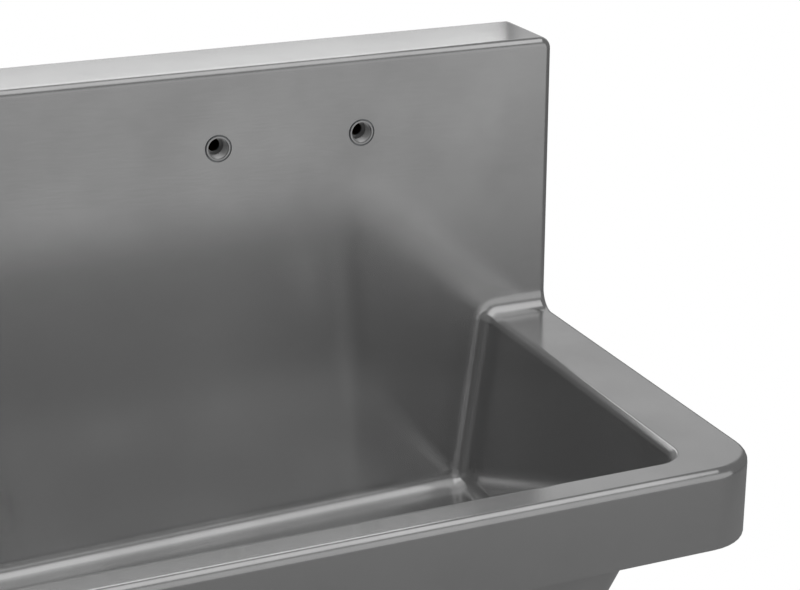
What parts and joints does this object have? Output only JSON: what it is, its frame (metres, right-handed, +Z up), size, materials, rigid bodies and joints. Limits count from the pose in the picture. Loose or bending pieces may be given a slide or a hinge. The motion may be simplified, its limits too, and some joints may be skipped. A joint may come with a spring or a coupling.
{
  "type": "wash trough",
  "caption": "Wall-hung stainless wash trough: raked bowl in a rolled rim with an apron, and a deep hollow splashback with bare threaded inlets.",
  "frame": {"origin": "middle of the wall rail's row of screw holes, on the wall plane, mid-length; the rim's top is 218 mm below it", "axes": "+X along the trough towards its right-hand end, +Y into the wall, +Z up"},
  "size_m": [1.2, 0.523, 0.5611],
  "materials": {
    "satin_sheet": "satin-ground stainless sheet, grain fine and even",
    "mill_sheet": "plain mill-finish stainless, folded or cut",
    "turned_stainless": "turned stainless with a fine machined sheen",
    "drawn_tube": "bright drawn stainless pipe",
    "fitting_brass": "plain machined brass",
    "black_rubber": "matt black moulded rubber",
    "damping_sheet": "matt dark self-adhesive damping sheet",
    "clip_plastic": "matt white moulded plastic",
    "washer_plastic": "matt pale moulded plastic"
  },
  "bodies": {
    "root": {"backing_plate_left": "mill_sheet", "backing_plate_right": "mill_sheet", "bowl": "satin_sheet", "bracket_nuts": "turned_stainless", "bracket_studs": "turned_stainless", "centre_strut": "mill_sheet", "clip_screws": "turned_stainless", "damping_pad_left": "damping_sheet", "damping_pad_right": "damping_sheet", "earth_bolt": "turned_stainless", "earth_tag": "mill_sheet", "gallows_bracket_left": "mill_sheet", "gallows_bracket_right": "mill_sheet", "hanging_rail": "mill_sheet", "inlet_elbow_cold_left": "fitting_brass", "inlet_elbow_cold_right": "fitting_brass", "inlet_elbow_hot_left": "fitting_brass", "inlet_elbow_hot_right": "fitting_brass", "inlet_socket_cold_left": "turned_stainless", "inlet_socket_cold_right": "turned_stainless", "inlet_socket_hot_left": "turned_stainless", "inlet_socket_hot_right": "turned_stainless", "pipe_clips": "clip_plastic", "rear_channel": "mill_sheet", "rim_deck": "satin_sheet", "splashback_skin": "satin_sheet", "strainer_screw": "turned_stainless", "supply_connector_cold_left": "fitting_brass", "supply_connector_cold_right": "fitting_brass", "supply_connector_hot_left": "fitting_brass", "supply_connector_hot_right": "fitting_brass", "supply_tail_cold_left": "drawn_tube", "supply_tail_cold_right": "drawn_tube", "supply_tail_hot_left": "drawn_tube", "supply_tail_hot_right": "drawn_tube", "tail_nuts": "fitting_brass", "wall_rail": "mill_sheet", "waste_backnut": "fitting_brass", "waste_body": "turned_stainless", "waste_lower_seal": "black_rubber", "waste_strainer": "turned_stainless", "waste_upper_seal": "black_rubber", "waste_washer": "washer_plastic"}
  },
  "joints": []
}
